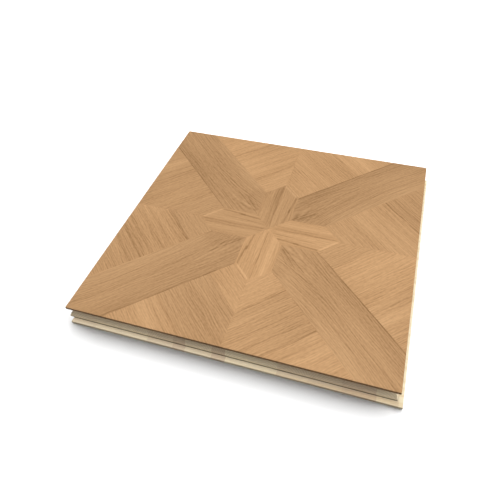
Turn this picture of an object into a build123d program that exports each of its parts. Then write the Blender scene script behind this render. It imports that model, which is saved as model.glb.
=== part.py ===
from build123d import *
import os

# Square engineered oak parquet panel, lying flat, in millimetres.
# The origin is on the underside, below the middle of the oak face. +Y is the back edge.

# Layers
face_side = 400.0
oak_t = 3.5
core_t = 16.3
backing_t = 3.2

# Marquetry of the oak face, measured along its axes and its edges
arm_half_w = 25.0
band_cut = 50.0
inner_board_run = 50.0
board_run = 100.0
lamella_bevel = 0.1

# Milled edges: the core slants out from under the oak to a nose on all four sides, and the backing
# stands out under it as a lip on the front and the right
shoulder_back = 8.0
nose_back = 1.0
nose_t = 2.7
foot_relief = 1.0
lip_reach = 5.2
lap_clearance = 0.5

# Core slats, sawn to uneven widths and laid from the left. The last one takes what is left over,
# and is no narrower than the narrowest of the others.
slat_widths = (37.0, 34.0, 34.0, 33.0, 15.5, 33.0, 16.5, 32.0, 30.0, 36.0, 37.0, 37.0)

# Worked out from the sizes above
half = face_side / 2
core_top = backing_t + core_t
arm_reach = band_cut + 2 * arm_half_w
shoulder_y = arm_reach - arm_half_w
corner_cut = half - band_cut

os.makedirs("parts", exist_ok=True)


def write(piece, name):
    piece.part.label = name
    export_step(piece.part, f"parts/{name}.step")


def finish_lamella(piece):
    """Give the drawn outline its thickness, and a fine bevel round the upper face."""
    with piece:
        extrude(amount=oak_t)
        chamfer(piece.faces().sort_by(Axis.Z)[-1].edges(), length=lamella_bevel)


def face_plane(turn):
    """Underside of the oak, turned about the middle of the panel."""
    return Plane.XY.offset(core_top).rotated((0, 0, turn))


def star_petal(hand, turn):
    """Half of one arm of the star, mitred at the middle and pointed at the tip."""
    with BuildPart() as piece:
        with BuildSketch(face_plane(turn)):
            with BuildLine():
                Polyline(
                    (0, 0),
                    (hand * arm_half_w, arm_half_w),
                    (hand * arm_half_w, shoulder_y),
                    (0, arm_reach),
                    close=True,
                )
            make_face()
    finish_lamella(piece)
    return piece


def diagonal_band(turn):
    """Wide lamella from the notch between two arms of the star to a corner of the panel."""
    with BuildPart() as piece:
        with BuildSketch(face_plane(turn)):
            with BuildLine():
                Polyline(
                    (arm_half_w, arm_half_w),
                    (shoulder_y, arm_half_w),
                    (half, corner_cut),
                    (half, half),
                    (corner_cut, half),
                    (arm_half_w, shoulder_y),
                    close=True,
                )
            make_face()
    finish_lamella(piece)
    return piece


def chevron_board(start, end, hand, turn):
    """The strip of half a field between two lines across its corner, start and end along the axis."""
    with BuildPart() as piece:
        with BuildSketch(face_plane(turn)):
            with BuildLine():
                Polyline(
                    (0, arm_reach),
                    (hand * arm_half_w, shoulder_y),
                    (hand * corner_cut, half),
                    (0, half),
                    close=True,
                )
            make_face()
            Polygon((0, 0), (hand * end, 0), (0, end), align=None, mode=Mode.INTERSECT)
            Polygon((0, 0), (hand * start, 0), (0, start), align=None, mode=Mode.SUBTRACT)
    finish_lamella(piece)
    return piece


# Joints of the chevrons, along the axis of a field and on past the edge of the panel
first_joint = arm_reach + inner_board_run
board_rows = max(1, round((half + corner_cut - first_joint) / board_run))
joints = [arm_reach] + [first_joint + row * board_run for row in range(board_rows)] + [face_side]

for quarter, turn in {"north": 0, "west": 90, "south": 180, "east": 270}.items():
    for side, hand in {"right": 1, "left": -1}.items():
        write(star_petal(hand, turn), f"star_petal_{quarter}_{side}")
        for row, (start, end) in enumerate(zip(joints, joints[1:]), start=1):
            write(chevron_board(start, end, hand, turn), f"chevron_{quarter}_{side}_board_{row}")

for corner, turn in {"north_east": 0, "north_west": 90, "south_west": 180, "south_east": 270}.items():
    write(diagonal_band(turn), f"diagonal_band_{corner}")


# The whole core, milled on its four sides, before it is parted into slats
nose_side = face_side - 2 * nose_back
with BuildPart() as core:
    with BuildSketch(Plane.XY.offset(backing_t)):
        Rectangle(nose_side, nose_side)
    extrude(amount=nose_t)
    with BuildSketch(Plane.XY.offset(backing_t + nose_t)):
        Rectangle(nose_side, nose_side)
    with BuildSketch(Plane.XY.offset(core_top)):
        Rectangle(face_side - 2 * shoulder_back, face_side - 2 * shoulder_back)
    loft()
    chamfer(core.faces().sort_by(Axis.Z)[0].edges(), length=foot_relief)

slat_edges = [-nose_side / 2]
for slat_w in slat_widths * 2:
    if slat_edges[-1] + slat_w + min(slat_widths) < nose_side / 2:
        slat_edges.append(slat_edges[-1] + slat_w)
slat_edges.append(nose_side / 2)

for number, (left, right) in enumerate(zip(slat_edges, slat_edges[1:]), start=1):
    with BuildPart() as slat:
        add(core.part)
        with BuildSketch(Plane.XY):
            with Locations((left, 0)):
                Rectangle(right - left, 2 * face_side, align=(Align.MIN, Align.CENTER))
        extrude(amount=core_top, mode=Mode.INTERSECT)
    write(slat, f"core_slat_{number:02d}")

# The backing sheet lies out towards the front right corner, so that it laps under the next panels
sheet_side = face_side - lap_clearance
with BuildPart() as backing:
    with BuildSketch(Plane.XY):
        with Locations((half + lip_reach, -half - lip_reach)):
            Rectangle(sheet_side, sheet_side, align=(Align.MAX, Align.MIN))
    extrude(amount=backing_t)
write(backing, "backing_sheet")
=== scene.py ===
import bpy
from math import atan2, cos, hypot, pi, radians, sin
from mathutils import Euler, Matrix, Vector


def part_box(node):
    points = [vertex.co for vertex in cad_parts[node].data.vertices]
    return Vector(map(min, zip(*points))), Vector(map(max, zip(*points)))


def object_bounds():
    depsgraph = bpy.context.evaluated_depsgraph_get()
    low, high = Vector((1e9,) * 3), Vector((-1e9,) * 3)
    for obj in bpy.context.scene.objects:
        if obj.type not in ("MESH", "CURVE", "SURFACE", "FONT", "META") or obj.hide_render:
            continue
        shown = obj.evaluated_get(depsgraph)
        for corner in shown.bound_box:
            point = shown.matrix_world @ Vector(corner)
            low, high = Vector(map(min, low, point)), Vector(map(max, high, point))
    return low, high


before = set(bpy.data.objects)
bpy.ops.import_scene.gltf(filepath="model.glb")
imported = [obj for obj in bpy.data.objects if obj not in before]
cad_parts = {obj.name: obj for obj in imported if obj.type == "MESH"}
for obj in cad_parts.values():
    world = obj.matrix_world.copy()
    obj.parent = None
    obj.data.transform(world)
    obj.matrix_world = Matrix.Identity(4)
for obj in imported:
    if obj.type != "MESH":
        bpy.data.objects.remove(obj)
cad_low, cad_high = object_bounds()

MM = 0.001

# Turn of each quarter and each diagonal band about the middle of the panel, in degrees
QUARTER_TURNS = {"north": 0, "west": 90, "south": 180, "east": 270}
BAND_TURNS = {"north_east": 0, "north_west": 90, "south_west": 180, "south_east": 270}
HANDS = ("right", "left")
BOARD_ROWS = (1, 2, 3)

# Turn of the grain from X in the north quarter and the north-east band, in degrees
BOARD_GRAIN_TURNS = {"right": -45, "left": 45}
BAND_GRAIN_TURN = 45
PETAL_GRAIN_TURN = 90

# Noise: the value that it varies about, the step of its seed from piece to piece, and the backing's seed
NOISE_MIDDLE = 0.5
SEED_STEP = 7.31
BACKING_SEED = 3.7

# Oak, from the dark latewood of a streak to the pale wood between streaks
OAK_DARK = (0.345, 0.189, 0.080, 1.0)
OAK_MID = (0.540, 0.310, 0.147, 1.0)
OAK_PALE = (0.680, 0.406, 0.201, 1.0)

# Painted shade: the side faces of the lamellas are darkened, by this share at most, against the face,
# whose normal is more upright than this
SIDE_FACE_PAINTED_SHADE = 0.45
FACE_UPRIGHT = 0.7

# Shade of the stock that each lamella is sawn from, 1 is the middle shade
PETAL_SHADES = {"north": 0.945, "west": 0.97, "south": 1.10, "east": 1.08}
BOARD_SHADES = {
    "north_right": (1.03, 1.04, 1.05),
    "north_left": (1.04, 1.07, 1.08),
    "west_right": (0.93, 0.95, 0.95),
    "west_left": (0.92, 0.98, 0.96),
    "south_right": (1.05, 0.95, 1.00),
    "south_left": (1.06, 1.00, 1.04),
    "east_right": (1.00, 1.06, 1.03),
    "east_left": (0.98, 0.98, 0.95),
}
BAND_SHADES = {"north_east": 0.89, "north_west": 0.89, "south_west": 0.90, "south_east": 0.95}

# Layers of the grain, from clouds to fine lines: waves to the metre along, across and into the board,
# detail, and share of the tone
OAK_GRAIN = (
    ((7, 14, 10), 1.0, 0.75),
    ((4, 90, 40), 1.0, 0.16),
    ((8, 190, 80), 0.0, 0.17),
    ((20, 420, 120), 0.0, 0.15),
    ((260, 640, 300), 0.0, 0.44),
)

# Tone of plain oak, between dark at 0 and pale at 1, and how much of the grain the small petals show
MIDDLE_TONE = 0.60
PETAL_GRAIN_SHARE = 0.72

# Fine lines of the grain: the noise less itself a step further across, which leaves no broad bands
FINE_WAVES = (50, 560, 300)
FINE_STEP = 1.2 * MM
FINE_SHARE = 0.66

# Open pores: waves to the metre, the noise at which a pore starts and is full, and the tone that it adds
PORE_WAVES = (170, 3600, 1500)
PORE_NOISE = (0.60, 0.74)
PORE_TONE = -0.10

# Roughness of the oak and its relief: pores go in and fine lines stand out, in shares of the depth
OAK_ROUGHNESS = 0.62
OAK_FINE_ROUGHNESS = 0.12
OAK_RELIEF = 0.15 * MM
PORE_HEIGHT = -0.6
FINE_HEIGHT = 0.4

# The grain sways from side to side: waves to the metre, and the width of the sway
SWAY_WAVES = (14, 30, 30)
SWAY_WIDTH = 4 * MM

# Streaks: the tone that a whole one adds, the share of its length over which each end fades, and the
# noise that breaks it up, with the strengths at its low and high values
STREAK_TONE = -0.36
STREAK_FADE = 0.08
BREAK_WAVES = (25, 120, 20)
BREAK_NOISE = (0.15, 0.6)
BREAK_STRENGTHS = (0.5, 1.1)

# Streaks in a lamella's own frame: start and end (along, across) the grain, half width, all in
# millimetres, and strength. A strength below zero is a pale streak.
BAND_STREAKS = [
    # A dark line along the band's one long edge: painted shade, as of an edge lit from one side
    ((60, 34.2), (290, 34.6), 2.0, 0.95),
    ((85, 33.5), (290, 32.5), 16.0, 0.40),
    ((60, 22.0), (290, 20.0), 16.0, 0.28),
    ((75, -36.0), (290, -36.0), 36.0, -0.60),
    ((33, -0.5), (96, -1.0), 1.4, 1.10),
    ((41, -3.5), (78, -9.0), 3.6, 0.50),
    ((42, -3.2), (84, -7.5), 1.2, 0.75),
    ((47, -8.5), (78, -15.5), 1.3, 0.60),
    ((96, 8.6), (175, 7.6), 1.2, 0.45),
    # A pale line along the band's other long edge: painted highlight, as of an edge lit from one side
    ((70, -35.0), (290, -35.2), 1.0, -0.30),
]
BAND_ARCHES = [
    ((60, -0.2), (300, -0.8), 1.5, 0.60),
    ((70, -7.5), (280, -8.2), 1.0, 0.30),
    ((68, -15.4), (270, -16.0), 1.6, 0.60),
    ((80, -24.0), (260, -24.6), 1.3, 0.40),
    ((90, -31.0), (255, -31.4), 1.2, 0.35),
]
BOARD_RIGHT_STREAKS = [
    ((-190, 204.0), (-10, 203.0), 11.0, -0.60),
    ((-190, 188.8), (-10, 188.2), 2.2, 0.50),
    ((-190, 177.5), (-10, 177.8), 2.2, 0.75),
    ((-190, 170.0), (-10, 169.0), 7.0, 0.18),
    ((-190, 163.0), (-10, 162.5), 1.6, 0.35),
    ((-190, 157.5), (-10, 157.0), 6.0, 0.18),
    ((-190, 149.0), (-10, 148.5), 1.0, 0.25),
    ((-190, 142.0), (-10, 142.0), 1.6, 0.20),
    ((-190, 128.0), (-10, 127.0), 9.0, -0.30),
    ((-190, 110.0), (-10, 110.0), 1.8, 0.50),
]
BOARD_LEFT_STREAKS = [
    ((10, 202.0), (190, 200.0), 8.0, -0.25),
    ((10, 189.5), (190, 187.5), 3.2, 0.42),
    ((10, 175.5), (190, 172.5), 2.4, 1.00),
    ((10, 169.0), (190, 167.0), 3.5, 0.25),
    ((10, 160.0), (190, 158.0), 3.8, 0.38),
    ((10, 151.0), (190, 149.0), 5.0, -0.35),
    ((10, 142.5), (190, 140.5), 1.0, 0.30),
    ((10, 136.0), (190, 135.0), 6.5, -0.25),
    ((10, 123.5), (190, 122.0), 6.0, -0.45),
    ((10, 106.5), (105, 106.5), 4.0, 0.50),
]
PETAL_LEFT_STREAKS = [
    ((2, 1.6), (99, 1.6), 1.8, 0.95),
    ((6, 7.2), (93, 7.0), 1.6, 0.50),
    ((5, 4.5), (95, 4.3), 3.6, 0.25),
    ((8, 14.8), (95, 13.8), 7.5, -0.45),
]
PETAL_RIGHT_STREAKS = [
    ((8, -3.2), (70, -3.6), 4.0, -0.30),
    ((7, -6.2), (71, -11.2), 1.4, 0.50),
    ((14, -15.2), (48, -18.8), 2.5, 1.00),
    ((38, -18.4), (79, -22.8), 2.6, 1.05),
    # A pale line along the petal's edge to its tip: painted highlight, as of an edge catching the light
    ((73, -24.0), (97.5, 0.5), 2.4, -1.20),
]

# Rings of the band's board: an arch over its lower half, flattening out above the middle
ARCH_MIDDLE = 204 * MM
ARCH_BEND = 0.69
ARCH_TOP = 22 * MM
ARCH_FOOT = -12 * MM

# Low gloss of oiled and of bare wood, and the strength of their relief
WOOD_GLOSS = 0.13
BUMP_STRENGTH = 0.5

# Softwood, from the pale early wood to the latewood of a ring, with its roughness and relief
PINE_PALE = (0.86, 0.73, 0.54, 1.0)
PINE_RING = (0.70, 0.52, 0.31, 1.0)
PINE_ROUGHNESS = 0.58
PINE_FIBRE_ROUGHNESS = 0.15
PINE_RELIEF = 0.1 * MM

# Shade of each core slat from the left, and of the lip beyond the last one, which is a painted light
# where light from the right falls on it, and the power of that shade in green and blue, which makes a
# darker strip redder
SLAT_SHADES = (1.0, 1.04, 1.05, 0.98, 0.88, 1.03, 0.90, 1.09, 1.08, 0.98, 0.95, 0.90, 1.04)
RIGHT_LIP_PAINTED_LIGHT = 1.15
BLUSH = 1.4

# Rings of a slat: their width and wander, and where in a ring the latewood starts and is darkest
RING_WIDTH = 2.4 * MM
WANDER_WAVES = (18, 3, 18)
WANDER_WIDTH = 6 * MM
LATEWOOD_START = 0.35
LATEWOOD_PEAK = 0.92
SLAT_FIBRE_WAVES = (1400, 40, 1400)
SLAT_LATE_SHARE = 0.45
SLAT_FIBRE_SHARE = 0.35

# Middle of a slat's rings: up to three steps to either side of the slat, in the order that the stride
# gives, and one of three depths below it
HEART_STEP = 9 * MM
HEART_STEPS_ASIDE = 3
HEART_STRIDE = 5
HEART_DEPTH = 12 * MM
HEART_DEPTH_STEP = 4 * MM
HEART_DEPTHS = 3

# Peeled backing sheet: sway of its grain, bands of latewood and fibre
SHEET_SWAY_WAVES = (6, 20, 20)
SHEET_SWAY_WIDTH = 14 * MM
SHEET_BAND_WAVES = (3, 190, 300)
SHEET_BAND_NOISE = (0.45, 0.72)
SHEET_FIBRE_WAVES = (40, 1400, 1400)
SHEET_LATE_SHARE = 0.55
SHEET_FIBRE_SHARE = 0.30

# Painted shade: a dark line in the crease where the core meets the lip: heights on the core, width on the
# lip
CREASE_SHADE_TOP = 2.2 * MM
CREASE_SHADE_FOOT = 1.0 * MM
CREASE_SHADE_ON_LIP = 0.4 * MM
CREASE_PAINTED_SHADE = 0.4

# Floor: half its side in metres, its colour as it is seen, and as it sends light back to the panel
FLOOR_HALF_SIDE = 12.0
FLOOR_SEEN = (0.96, 0.96, 0.96, 1)
FLOOR_BOUNCE = (0.25, 0.25, 0.25, 1)

# Camera: place from the middle of the oak face in metres, turn in degrees, lens and sensor in millimetres
CAMERA_PLACE = (0.13584, -0.48402, 0.47786)
CAMERA_TURN = (44.025, 1.400, 17.300)
CAMERA_LENS = 35.892
CAMERA_SENSOR = 36.0

# Lamps: light on a level surface, where 1 shows white as white, azimuth, elevation and spread in degrees.
# Azimuth 0 is behind the panel and 90 to its right. The floor has its own, which draw its soft shadow.
PANEL_LAMPS = (
    ("key", 0.305, 92, 28, 40),
    ("overhead", 0.59, 0, 87, 40),
    ("front_fill", 0.052, 180, 30, 60),
)
FLOOR_LAMPS = (
    ("back", 0.58, 0, 15, 55),
    ("back_left", 0.42, -50, 35, 45),
    ("back_right", 0.42, 50, 35, 45),
    ("side_left", 0.18, -75, 15, 60),
    ("side_right", 0.18, 75, 15, 60),
)
WORLD_LIGHT = 0.04


class Graph:
    """Short ways to add nodes to one shader tree and join them up."""

    def __init__(self, tree):
        self.tree = tree

    def add(self, kind, **settings):
        node = self.tree.nodes.new(kind)
        for name, value in settings.items():
            setattr(node, name, value)
        return node

    def feed(self, socket, value):
        """Link the socket to another one, or set it to a plain value."""
        if isinstance(value, bpy.types.NodeSocket):
            self.tree.links.new(value, socket)
        else:
            socket.default_value = value

    def math(self, operation, *values, clamp=False):
        node = self.add("ShaderNodeMath", operation=operation, use_clamp=clamp)
        for socket, value in zip(node.inputs, values):
            self.feed(socket, value)
        return node.outputs[0]

    def ease(self, value, low, high, start=0.0, end=1.0):
        """Smooth step of value from start, at low, to end, at high."""
        node = self.add("ShaderNodeMapRange", interpolation_type="SMOOTHSTEP")
        for socket, number in zip(node.inputs, (value, low, high, start, end)):
            self.feed(socket, number)
        return node.outputs[0]

    def parts(self, vector):
        node = self.add("ShaderNodeSeparateXYZ")
        self.feed(node.inputs[0], vector)
        return node.outputs[0], node.outputs[1], node.outputs[2]

    def vector(self, x, y, z):
        node = self.add("ShaderNodeCombineXYZ")
        for socket, value in zip(node.inputs, (x, y, z)):
            self.feed(socket, value)
        return node.outputs[0]

    def place(self):
        """Coordinates of the surface in the shared frame, in metres."""
        return self.parts(self.add("ShaderNodeTexCoord").outputs["Object"])

    def noise(self, x, y, z, per_metre, seed, detail=2.0):
        """Noise with its own number of waves to the metre along each of the three axes."""
        scaled = [self.math("MULTIPLY", value, rate) for value, rate in zip((x, y, z), per_metre)]
        node = self.add("ShaderNodeTexNoise", noise_dimensions="4D")
        self.feed(node.inputs["Vector"], self.vector(*scaled))
        self.feed(node.inputs["W"], seed)
        self.feed(node.inputs["Scale"], 1.0)
        self.feed(node.inputs["Detail"], detail)
        return node.outputs["Fac"]

    def blend(self, factor, first, second):
        node = self.add("ShaderNodeMix", data_type="RGBA")
        self.feed(node.inputs["Factor"], factor)
        self.feed(node.inputs["A"], first)
        self.feed(node.inputs["B"], second)
        return node.outputs["Result"]

    def shade_by(self, colour, amount):
        """The colour times a number."""
        node = self.add("ShaderNodeVectorMath", operation="SCALE")
        self.feed(node.inputs[0], colour)
        self.feed(node.inputs["Scale"], amount)
        return node.outputs[0]

    def tint_by(self, colour, tint):
        """The colour times another colour."""
        node = self.add("ShaderNodeVectorMath", operation="MULTIPLY")
        self.feed(node.inputs[0], colour)
        self.feed(node.inputs[1], tint)
        return node.outputs[0]

    def ramp(self, value, stops, interpolation="LINEAR"):
        """Colour by value, from stops of (position, colour)."""
        node = self.add("ShaderNodeValToRGB")
        self.feed(node.inputs[0], value)
        node.color_ramp.interpolation = interpolation
        elements = node.color_ramp.elements
        while len(elements) < len(stops):
            elements.new(0.5)
        for element, (position, colour) in zip(elements, stops):
            element.position = position
            element.color = colour
        return node.outputs[0]


def new_group(name, inputs, outputs):
    """An empty node group with its sockets, as (graph, sockets to read, sockets to feed)."""
    tree = bpy.data.node_groups.new(name, "ShaderNodeTree")
    for label, kind in inputs.items():
        tree.interface.new_socket(label, in_out="INPUT", socket_type=kind)
    for label, kind in outputs.items():
        tree.interface.new_socket(label, in_out="OUTPUT", socket_type=kind)
    graph = Graph(tree)
    return graph, graph.add("NodeGroupInput").outputs, graph.add("NodeGroupOutput").inputs


def stroke_mask(graph, point, streak):
    """One soft streak: its strength along the middle, nothing at its sides and ends."""
    (x0, y0), (x1, y1), half_width, strength = streak
    place = graph.add("ShaderNodeMapping", vector_type="TEXTURE")
    graph.feed(place.inputs["Vector"], point)
    place.inputs["Location"].default_value = (x0 * MM, y0 * MM, 0)
    place.inputs["Rotation"].default_value = (0, 0, atan2(y1 - y0, x1 - x0))
    place.inputs["Scale"].default_value = (hypot(x1 - x0, y1 - y0) * MM, half_width * MM, 1)
    along, across, _ = graph.parts(place.outputs[0])
    side = graph.ease(graph.math("ABSOLUTE", across), 0.0, 1.0, strength, 0.0)
    start = graph.ease(along, 0.0, STREAK_FADE)
    end = graph.ease(along, 1.0 - STREAK_FADE, 1.0, 1.0, 0.0)
    return graph.math("MULTIPLY", side, graph.math("MULTIPLY", start, end))


def arched(graph, x, y, swayed):
    """Where the rings of an arched board run across it."""
    offset = graph.math("SUBTRACT", x, ARCH_MIDDLE)
    rise = graph.math("MULTIPLY", graph.math("POWER", offset, 2.0), ARCH_BEND)
    share = graph.ease(y, ARCH_FOOT, ARCH_TOP, 1.0, 0.0)
    return graph.math("MULTIPLY_ADD", rise, share, swayed)


def figure_group(name, streaks, arches=()):
    """Node group of one lamella's figure: where its rings run, and its straight and arched streaks."""
    graph, given, result = new_group(
        name,
        {"Point": "NodeSocketVector", "Seed": "NodeSocketFloat"},
        {"Rings": "NodeSocketVector", "Streaks": "NodeSocketFloat"},
    )
    x, y, z = graph.parts(given["Point"])
    sway = graph.noise(x, y, z, SWAY_WAVES, given["Seed"], detail=1.0)
    swayed = graph.math("MULTIPLY_ADD", graph.math("SUBTRACT", sway, NOISE_MIDDLE), SWAY_WIDTH, y)
    rings = arched(graph, x, y, swayed) if arches else swayed
    total = 0.0
    for streak in streaks:
        total = graph.math("ADD", total, stroke_mask(graph, graph.vector(x, swayed, z), streak))
    for streak in arches:
        total = graph.math("ADD", total, stroke_mask(graph, graph.vector(x, rings, z), streak))
    broken = graph.noise(x, rings, z, BREAK_WAVES, given["Seed"])
    strength = graph.ease(broken, *BREAK_NOISE, *BREAK_STRENGTHS)
    graph.feed(result["Rings"], graph.vector(x, rings, z))
    graph.feed(result["Streaks"], graph.math("MULTIPLY", total, strength))
    return graph.tree


def oak_group():
    """Node group that turns ring coordinates and streaks into the colour and relief of sawn oak."""
    graph, given, result = new_group(
        "oak_wood",
        {
            "Rings": "NodeSocketVector",
            "Streaks": "NodeSocketFloat",
            "Seed": "NodeSocketFloat",
            "Shade": "NodeSocketFloat",
            "Grain": "NodeSocketFloat",
        },
        {"Color": "NodeSocketColor", "Roughness": "NodeSocketFloat", "Height": "NodeSocketFloat"},
    )
    x, y, z = graph.parts(given["Rings"])
    seed = given["Seed"]
    grain = 0.0
    for per_metre, detail, share in OAK_GRAIN:
        layer = graph.noise(x, y, z, per_metre, seed, detail=detail)
        grain = graph.math("MULTIPLY_ADD", graph.math("SUBTRACT", layer, NOISE_MIDDLE), share, grain)
    here = graph.noise(x, y, z, FINE_WAVES, seed, detail=0.0)
    beside = graph.noise(x, graph.math("ADD", y, FINE_STEP), z, FINE_WAVES, seed, detail=0.0)
    fine = graph.math("SUBTRACT", here, beside)
    grain = graph.math("MULTIPLY_ADD", fine, FINE_SHARE, grain)
    pores = graph.ease(graph.noise(x, y, z, PORE_WAVES, seed, detail=1.0), *PORE_NOISE)

    tone = graph.math("MULTIPLY_ADD", grain, given["Grain"], MIDDLE_TONE)
    tone = graph.math("MULTIPLY_ADD", given["Streaks"], STREAK_TONE, tone)
    tone = graph.math("MULTIPLY_ADD", pores, PORE_TONE, tone)
    colour = graph.ramp(tone, [(0.0, OAK_DARK), (0.5, OAK_MID), (1.0, OAK_PALE)])
    roughness = graph.math("MULTIPLY_ADD", fine, OAK_FINE_ROUGHNESS, OAK_ROUGHNESS)
    height = graph.math("MULTIPLY_ADD", pores, PORE_HEIGHT, graph.math("MULTIPLY", fine, FINE_HEIGHT))
    graph.feed(result["Color"], graph.shade_by(colour, given["Shade"]))
    graph.feed(result["Roughness"], roughness)
    graph.feed(result["Height"], height)
    return graph.tree


# Node groups that the lamellas share
OAK = oak_group()
FIGURES = {
    "band": figure_group("band_figure", BAND_STREAKS, BAND_ARCHES),
    "board_right": figure_group("board_right_figure", BOARD_RIGHT_STREAKS),
    "board_left": figure_group("board_left_figure", BOARD_LEFT_STREAKS),
    "petal_right": figure_group("petal_right_figure", PETAL_RIGHT_STREAKS),
    "petal_left": figure_group("petal_left_figure", PETAL_LEFT_STREAKS),
}


def new_material(name):
    """A material with nothing in its tree but its shader and output, as (material, graph, shader)."""
    material = bpy.data.materials.new(name)
    material.use_nodes = True
    graph = Graph(material.node_tree)
    return material, graph, material.node_tree.nodes["Principled BSDF"]


def finish_wood(graph, shader, colour, roughness, height, depth):
    """Feed a wood's colour, roughness and relief to its shader."""
    bump = graph.add("ShaderNodeBump")
    bump.inputs["Strength"].default_value = BUMP_STRENGTH
    bump.inputs["Distance"].default_value = depth
    graph.feed(bump.inputs["Height"], height)
    graph.feed(shader.inputs["Base Color"], colour)
    graph.feed(shader.inputs["Roughness"], roughness)
    graph.feed(shader.inputs["Normal"], bump.outputs[0])
    shader.inputs["Specular IOR Level"].default_value = WOOD_GLOSS


def oak_material(name, figure, turn, seed, shade, grain=1.0):
    """Oak whose grain runs along X turned by so many degrees about the middle of the panel."""
    material, graph, shader = new_material(name)
    where = graph.add("ShaderNodeTexCoord").outputs
    place = graph.add("ShaderNodeMapping", vector_type="TEXTURE")
    graph.feed(place.inputs["Vector"], where["Object"])
    place.inputs["Rotation"].default_value = (0, 0, radians(turn))
    drawn = graph.add("ShaderNodeGroup", node_tree=figure)
    graph.feed(drawn.inputs["Point"], place.outputs[0])
    drawn.inputs["Seed"].default_value = seed
    wood = graph.add("ShaderNodeGroup", node_tree=OAK)
    graph.feed(wood.inputs["Rings"], drawn.outputs["Rings"])
    graph.feed(wood.inputs["Streaks"], drawn.outputs["Streaks"])
    wood.inputs["Seed"].default_value = seed
    wood.inputs["Shade"].default_value = shade
    wood.inputs["Grain"].default_value = grain
    colour, roughness, height = wood.outputs
    # Painted shade on faces that turn from upright, strongest on the side faces
    _, _, upright = graph.parts(where["Normal"])
    colour = graph.shade_by(colour, graph.ease(upright, 0.0, FACE_UPRIGHT, SIDE_FACE_PAINTED_SHADE, 1.0))
    finish_wood(graph, shader, colour, roughness, height, OAK_RELIEF)
    return material


def dress(node_name, material):
    """Give a node of the frame its material."""
    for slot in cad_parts[node_name].material_slots:
        slot.material = material


def dress_face():
    """Oak on the 36 lamellas of the face."""
    seed = 0.0
    for quarter, turn in QUARTER_TURNS.items():
        for hand in HANDS:
            seed += SEED_STEP
            petal = f"star_petal_{quarter}_{hand}"
            figure = FIGURES[f"petal_{hand}"]
            petal_turn = PETAL_GRAIN_TURN + turn
            shade = PETAL_SHADES[quarter]
            dress(petal, oak_material(petal, figure, petal_turn, seed, shade, PETAL_GRAIN_SHARE))
            figure = FIGURES[f"board_{hand}"]
            board_turn = BOARD_GRAIN_TURNS[hand] + turn
            for row, shade in zip(BOARD_ROWS, BOARD_SHADES[f"{quarter}_{hand}"]):
                seed += SEED_STEP
                board = f"chevron_{quarter}_{hand}_board_{row}"
                dress(board, oak_material(board, figure, board_turn, seed, shade))
    for corner, turn in BAND_TURNS.items():
        seed += SEED_STEP
        band = f"diagonal_band_{corner}"
        band_turn = BAND_GRAIN_TURN + turn
        dress(band, oak_material(band, FIGURES["band"], band_turn, seed, BAND_SHADES[corner]))


def softwood(graph, late, fibre, late_share, fibre_share):
    """Colour, roughness and relief of softwood, from its latewood and its fibre."""
    fibres = graph.math("MULTIPLY", fibre, fibre_share)
    amount = graph.math("MULTIPLY_ADD", late, late_share, fibres, clamp=True)
    colour = graph.blend(amount, PINE_PALE, PINE_RING)
    roughness = graph.math("MULTIPLY_ADD", fibre, PINE_FIBRE_ROUGHNESS, PINE_ROUGHNESS)
    return colour, roughness, graph.math("ADD", late, fibre)


def slat_wood(graph, seed, heart_x, heart_z):
    """Softwood of a slat, with its rings about a line along Y."""
    x, y, z = graph.place()
    wander = graph.noise(x, y, z, WANDER_WAVES, seed)
    from_x = graph.math("SUBTRACT", x, heart_x)
    from_z = graph.math("SUBTRACT", z, heart_z)
    squares = graph.math("MULTIPLY_ADD", from_x, from_x, graph.math("POWER", from_z, 2.0))
    radius = graph.math("MULTIPLY_ADD", wander, WANDER_WIDTH, graph.math("SQRT", squares))
    ring = graph.math("FRACT", graph.math("DIVIDE", radius, RING_WIDTH))
    darkening = graph.ease(ring, LATEWOOD_START, LATEWOOD_PEAK)
    late = graph.math("MULTIPLY", darkening, graph.ease(ring, LATEWOOD_PEAK, 1.0, 1.0, 0.0))
    fibre = graph.noise(x, y, z, SLAT_FIBRE_WAVES, seed)
    return softwood(graph, late, fibre, SLAT_LATE_SHARE, SLAT_FIBRE_SHARE)


def sheet_wood(graph, seed):
    """Softwood of a peeled sheet, with its grain along X."""
    x, y, z = graph.place()
    sway = graph.noise(x, y, z, SHEET_SWAY_WAVES, seed)
    across = graph.math("MULTIPLY_ADD", sway, SHEET_SWAY_WIDTH, y)
    bands = graph.noise(x, across, z, SHEET_BAND_WAVES, seed)
    fibre = graph.noise(x, across, z, SHEET_FIBRE_WAVES, seed)
    late = graph.ease(bands, *SHEET_BAND_NOISE)
    return softwood(graph, late, fibre, SHEET_LATE_SHARE, SHEET_FIBRE_SHARE)


def slat_name(number):
    """Name of a core slat, counted from 1 at the left."""
    return f"core_slat_{number:02d}"


def slat_tint(shade):
    """Colour to multiply softwood by: a darker strip is a little redder too."""
    return (shade, shade**BLUSH, shade**BLUSH)


def slat_heart(number, low, high):
    """Place across and height of the middle of a slat's rings."""
    places = 2 * HEART_STEPS_ASIDE + 1
    aside = (number * HEART_STRIDE) % places - HEART_STEPS_ASIDE
    depth = HEART_DEPTH + HEART_DEPTH_STEP * (number % HEART_DEPTHS)
    return (low.x + high.x) / 2 + HEART_STEP * aside, low.z - depth


def dress_core():
    """Softwood on the core slats, each with its own rings and shade."""
    for number, shade in enumerate(SLAT_SHADES, start=1):
        name = slat_name(number)
        low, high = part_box(name)
        material, graph, shader = new_material(name)
        heart_x, heart_z = slat_heart(number, low, high)
        colour, roughness, height = slat_wood(graph, number * SEED_STEP, heart_x, heart_z)
        _, _, z = graph.place()
        # Painted shade at the foot of the slat, in the crease above the lip
        crease_shade = graph.ease(z, low.z + CREASE_SHADE_FOOT, low.z + CREASE_SHADE_TOP, CREASE_PAINTED_SHADE, 1.0)
        colour = graph.shade_by(graph.tint_by(colour, slat_tint(shade)), crease_shade)
        finish_wood(graph, shader, colour, roughness, height, PINE_RELIEF)
        dress(name, material)


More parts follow.
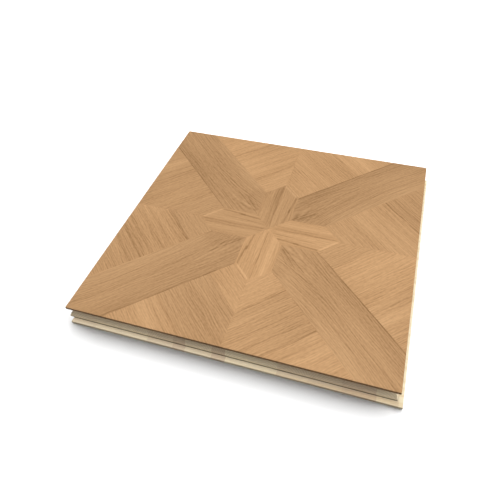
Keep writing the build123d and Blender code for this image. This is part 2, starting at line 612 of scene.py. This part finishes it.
def dress_backing():
    """Softwood strips on the backing sheet, under the core slats and like them in shade."""
    material, graph, shader = new_material("backing_sheet")
    colour, roughness, height = sheet_wood(graph, BACKING_SEED)
    x, y, _ = graph.place()
    low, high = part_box("backing_sheet")
    width = high.x - low.x
    slats = [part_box(slat_name(number)) for number, _ in enumerate(SLAT_SHADES, start=1)]
    core_front = slats[0][0].y
    core_right = slats[-1][1].x
    strip_lefts = [slat_low.x for slat_low, _ in slats] + [core_right]
    stops = []
    # The last stop, the lip right of the core, is a painted light: paler where light from the right falls
    # on it
    for left, shade in zip(strip_lefts, SLAT_SHADES + (RIGHT_LIP_PAINTED_LIGHT,)):
        stops.append(((max(left, low.x) - low.x) / width, (*slat_tint(shade), 1.0)))
    along = graph.math("DIVIDE", graph.math("SUBTRACT", x, low.x), width)
    colour = graph.tint_by(colour, graph.ramp(along, stops, "CONSTANT"))
    # Painted shade on the lip along the foot of the core
    past_front = graph.math("SUBTRACT", core_front, y)
    past_right = graph.math("SUBTRACT", x, core_right)
    past_core = graph.math("MAXIMUM", past_front, past_right)
    crease_shade = graph.ease(past_core, 0.0, CREASE_SHADE_ON_LIP, CREASE_PAINTED_SHADE, 1.0)
    finish_wood(graph, shader, graph.shade_by(colour, crease_shade), roughness, height, PINE_RELIEF)
    dress("backing_sheet", material)


def white_floor():
    """White floor that shows the panel's shadow."""
    side = FLOOR_HALF_SIDE
    mesh = bpy.data.meshes.new("floor")
    corners = [(-side, -side, 0), (side, -side, 0), (side, side, 0), (-side, side, 0)]
    mesh.from_pydata(corners, [], [(0, 1, 2, 3)])
    floor = bpy.data.objects.new("floor", mesh)
    bpy.context.scene.collection.objects.link(floor)
    material, graph, shader = new_material("floor")
    path = graph.add("ShaderNodeLightPath").outputs
    seen = graph.math("MAXIMUM", path["Is Camera Ray"], path["Is Glossy Ray"])
    seen = graph.math("MAXIMUM", seen, path["Is Transmission Ray"])
    graph.feed(shader.inputs["Base Color"], graph.blend(seen, FLOOR_BOUNCE, FLOOR_SEEN))
    shader.inputs["Roughness"].default_value = 1.0
    shader.inputs["Specular IOR Level"].default_value = 0.0
    mesh.materials.append(material)
    return floor


def sun(name, light, azimuth, elevation, spread, only_on):
    """A broad soft lamp far away that lights only the objects given."""
    turn = radians(azimuth)
    climb = radians(elevation)
    data = bpy.data.lights.new(name, "SUN")
    data.energy = light * pi / sin(climb)
    data.angle = radians(spread)
    lamp = bpy.data.objects.new(name, data)
    towards = Vector((sin(turn) * cos(climb), cos(turn) * cos(climb), sin(climb)))
    lamp.rotation_euler = towards.to_track_quat("Z", "Y").to_euler()
    bpy.context.scene.collection.objects.link(lamp)
    lit = bpy.data.collections.new(f"{name}_lights")
    for obj in only_on:
        lit.objects.link(obj)
    lamp.light_linking.receiver_collection = lit


def white_world(light):
    """White background for the camera and through glass, and a weak even light for all other rays."""
    world = bpy.data.worlds.new("studio")
    world.use_nodes = True
    graph = Graph(world.node_tree)
    background = world.node_tree.nodes["Background"]
    background.inputs["Color"].default_value = (1, 1, 1, 1)
    path = graph.add("ShaderNodeLightPath").outputs
    seen = graph.math("MAXIMUM", path["Is Camera Ray"], path["Is Transmission Ray"])
    graph.feed(background.inputs["Strength"], graph.ease(seen, 0.0, 1.0, light, 1.0))
    bpy.context.scene.world = world


def camera():
    """The photo's view, placed from the middle of the oak face."""
    data = bpy.data.cameras.new("camera")
    data.lens = CAMERA_LENS
    data.sensor_width = CAMERA_SENSOR
    obj = bpy.data.objects.new("camera", data)
    obj.location = Vector(CAMERA_PLACE) + Vector((0, 0, cad_high[2]))
    obj.rotation_euler = Euler([radians(turn) for turn in CAMERA_TURN])
    bpy.context.scene.collection.objects.link(obj)
    bpy.context.scene.camera = obj


dress_face()
dress_core()
dress_backing()
floor = white_floor()
panel = list(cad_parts.values())
for lamp in PANEL_LAMPS:
    sun(*lamp, panel)
for lamp in FLOOR_LAMPS:
    sun(*lamp, [floor])
white_world(WORLD_LIGHT)
camera()
bpy.context.scene.view_settings.view_transform = "Standard"
